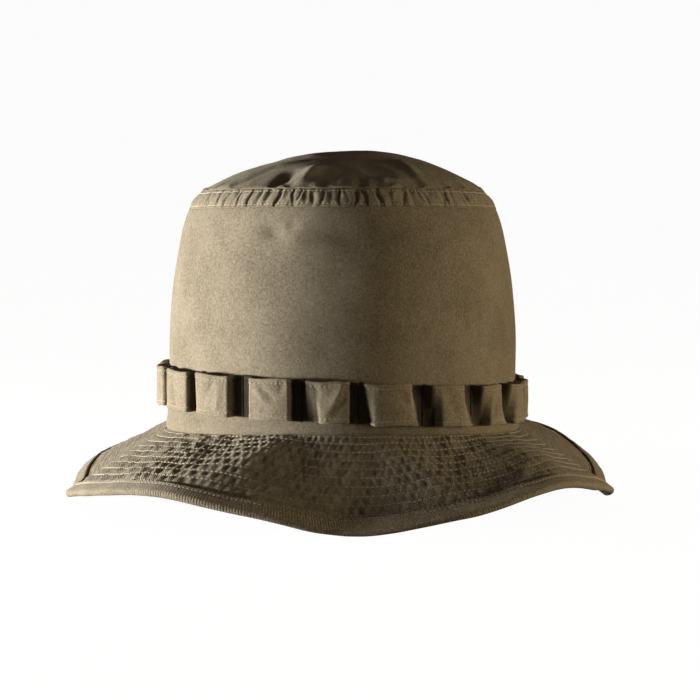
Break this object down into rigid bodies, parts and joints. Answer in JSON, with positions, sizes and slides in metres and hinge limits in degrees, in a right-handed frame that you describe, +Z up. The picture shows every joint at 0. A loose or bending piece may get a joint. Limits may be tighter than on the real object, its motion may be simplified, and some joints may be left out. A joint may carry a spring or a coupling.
{
  "type": "boonie hat",
  "caption": "Soft cotton sun hat with a deep domed crown, a band with a strap of foliage loops, and a wide wavy stitched brim with a bound edge.",
  "frame": {"origin": "middle of the whole outline, on the surface that the hat rests on", "axes": "+Z up; the front of the hat looks towards -Y; +X is towards the viewer's right when looking at the front; the long way of the head runs along Y"},
  "size_m": [0.2868, 0.2946, 0.1815],
  "materials": {
    "crown_cloth": "brushed cotton twill, khaki olive, washed soft",
    "gathered_cloth": "the same cotton twill, gathered between two rows of stitches",
    "band_cloth": "the same cotton twill, folded",
    "strap_cloth": "the same cotton twill, folded and topstitched along both edges",
    "brim_cloth": "two plies of the same cotton, sewn in close rows and puckered by washing",
    "binding_cloth": "the same cotton as a folded binding, darker at its worn fold"
  },
  "bodies": {
    "root": {"crown_top": "crown_cloth", "crown_side": "crown_cloth", "crown_seam_strip": "gathered_cloth", "hat_band": "band_cloth", "brim": "brim_cloth", "brim_binding": "binding_cloth", "strap_loop_01": "strap_cloth", "strap_loop_02": "strap_cloth", "strap_loop_03": "strap_cloth", "strap_loop_04": "strap_cloth", "strap_loop_05": "strap_cloth", "strap_loop_06": "strap_cloth", "strap_loop_07": "strap_cloth", "strap_loop_08": "strap_cloth", "strap_loop_09": "strap_cloth", "strap_loop_10": "strap_cloth", "strap_loop_11": "strap_cloth", "strap_loop_12": "strap_cloth", "strap_loop_13": "strap_cloth", "strap_loop_14": "strap_cloth", "strap_loop_15": "strap_cloth", "strap_loop_16": "strap_cloth", "strap_loop_17": "strap_cloth", "strap_loop_18": "strap_cloth", "strap_loop_19": "strap_cloth", "strap_loop_20": "strap_cloth"}
  },
  "joints": []
}
